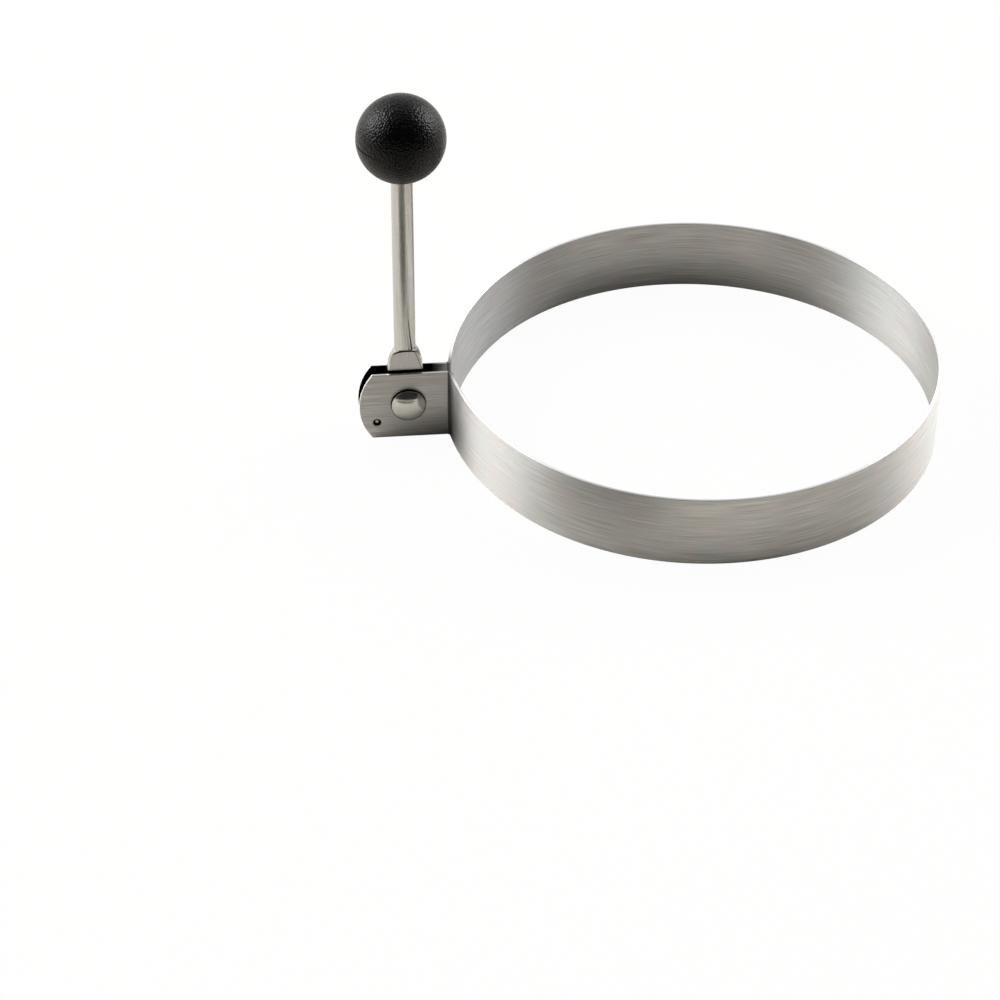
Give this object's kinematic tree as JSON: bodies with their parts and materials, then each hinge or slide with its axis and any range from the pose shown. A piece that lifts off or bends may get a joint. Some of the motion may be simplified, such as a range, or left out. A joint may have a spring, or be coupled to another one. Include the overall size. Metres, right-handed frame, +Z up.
{
  "type": "egg ring",
  "caption": "Round steel egg ring made from a bent strip, with a ball-topped handle on a riveted hinge that stands up for lifting and folds flat into the hoop.",
  "frame": {"origin": "under the middle of the whole object's bounding box, on the plane that the hoop stands on; the hoop's own axis is at x = 0.01 m", "axes": "+X from the ears across the hoop, +Y along the hinge's axis, +Z up"},
  "size_m": [0.12, 0.1, 0.0799],
  "materials": {
    "band_steel": "rolled stainless strip with a fine grain along its length and burnished cut edges",
    "tube_steel": "drawn stainless tube, satin to bright, pressed flat at its lower end",
    "rivet_steel": "polished steel rivet",
    "knob_plastic": "black moulded plastic with a fine pebble grain and a parting groove"
  },
  "bodies": {
    "hoop": {"ring_band": "band_steel", "pivot_rivet": "rivet_steel"},
    "handle": {"handle_tube": "tube_steel", "ball_knob": "knob_plastic"}
  },
  "joints": [
    {"name": "handle_fold", "type": "hinge", "parent": "hoop", "child": "handle", "pos_m": [-0.04992, 0, 0.0082], "axis": [0, 1, 0], "range_deg": [-84.3, 89.7]}
  ]
}
